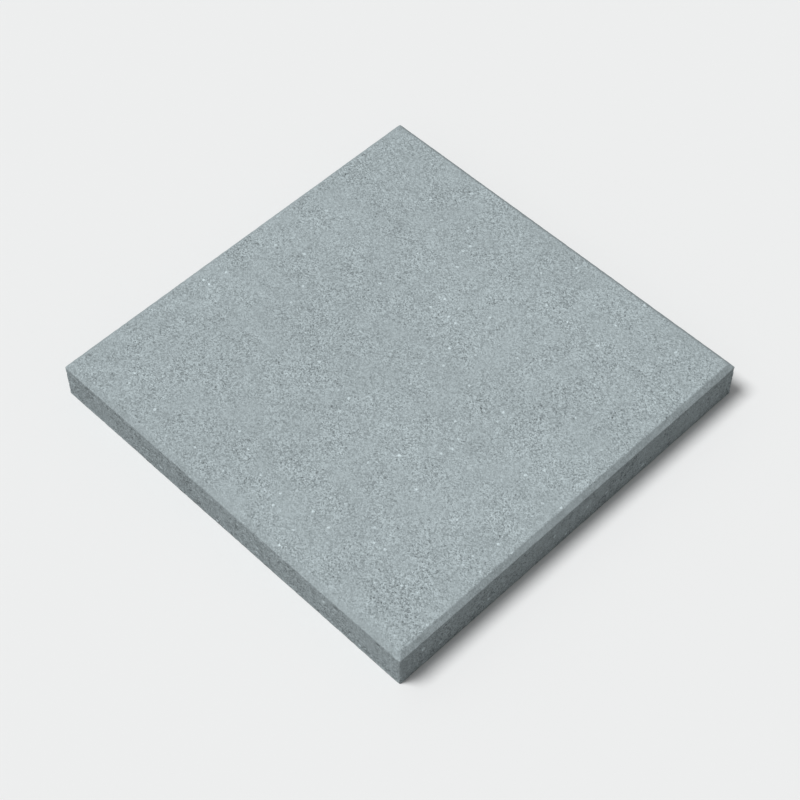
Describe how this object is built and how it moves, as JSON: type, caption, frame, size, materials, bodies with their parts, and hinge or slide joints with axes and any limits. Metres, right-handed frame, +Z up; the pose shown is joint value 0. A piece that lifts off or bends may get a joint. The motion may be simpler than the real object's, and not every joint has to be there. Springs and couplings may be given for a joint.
{
  "type": "concrete paving slab",
  "caption": "Square pressed concrete paving slab in plain grey, with a bevel round its fine-grained wearing face, lying flat on its bed.",
  "frame": {"origin": "middle of the bed face, the underside that the slab lies on", "axes": "+Z up, out of the wearing face; X and Y along the slab's sides"},
  "size_m": [0.5, 0.5, 0.05],
  "materials": {
    "pressed_concrete": "matt, fine-grained pressed concrete in blue-grey"
  },
  "bodies": {
    "root": {"paving_slab": "pressed_concrete"}
  },
  "joints": []
}
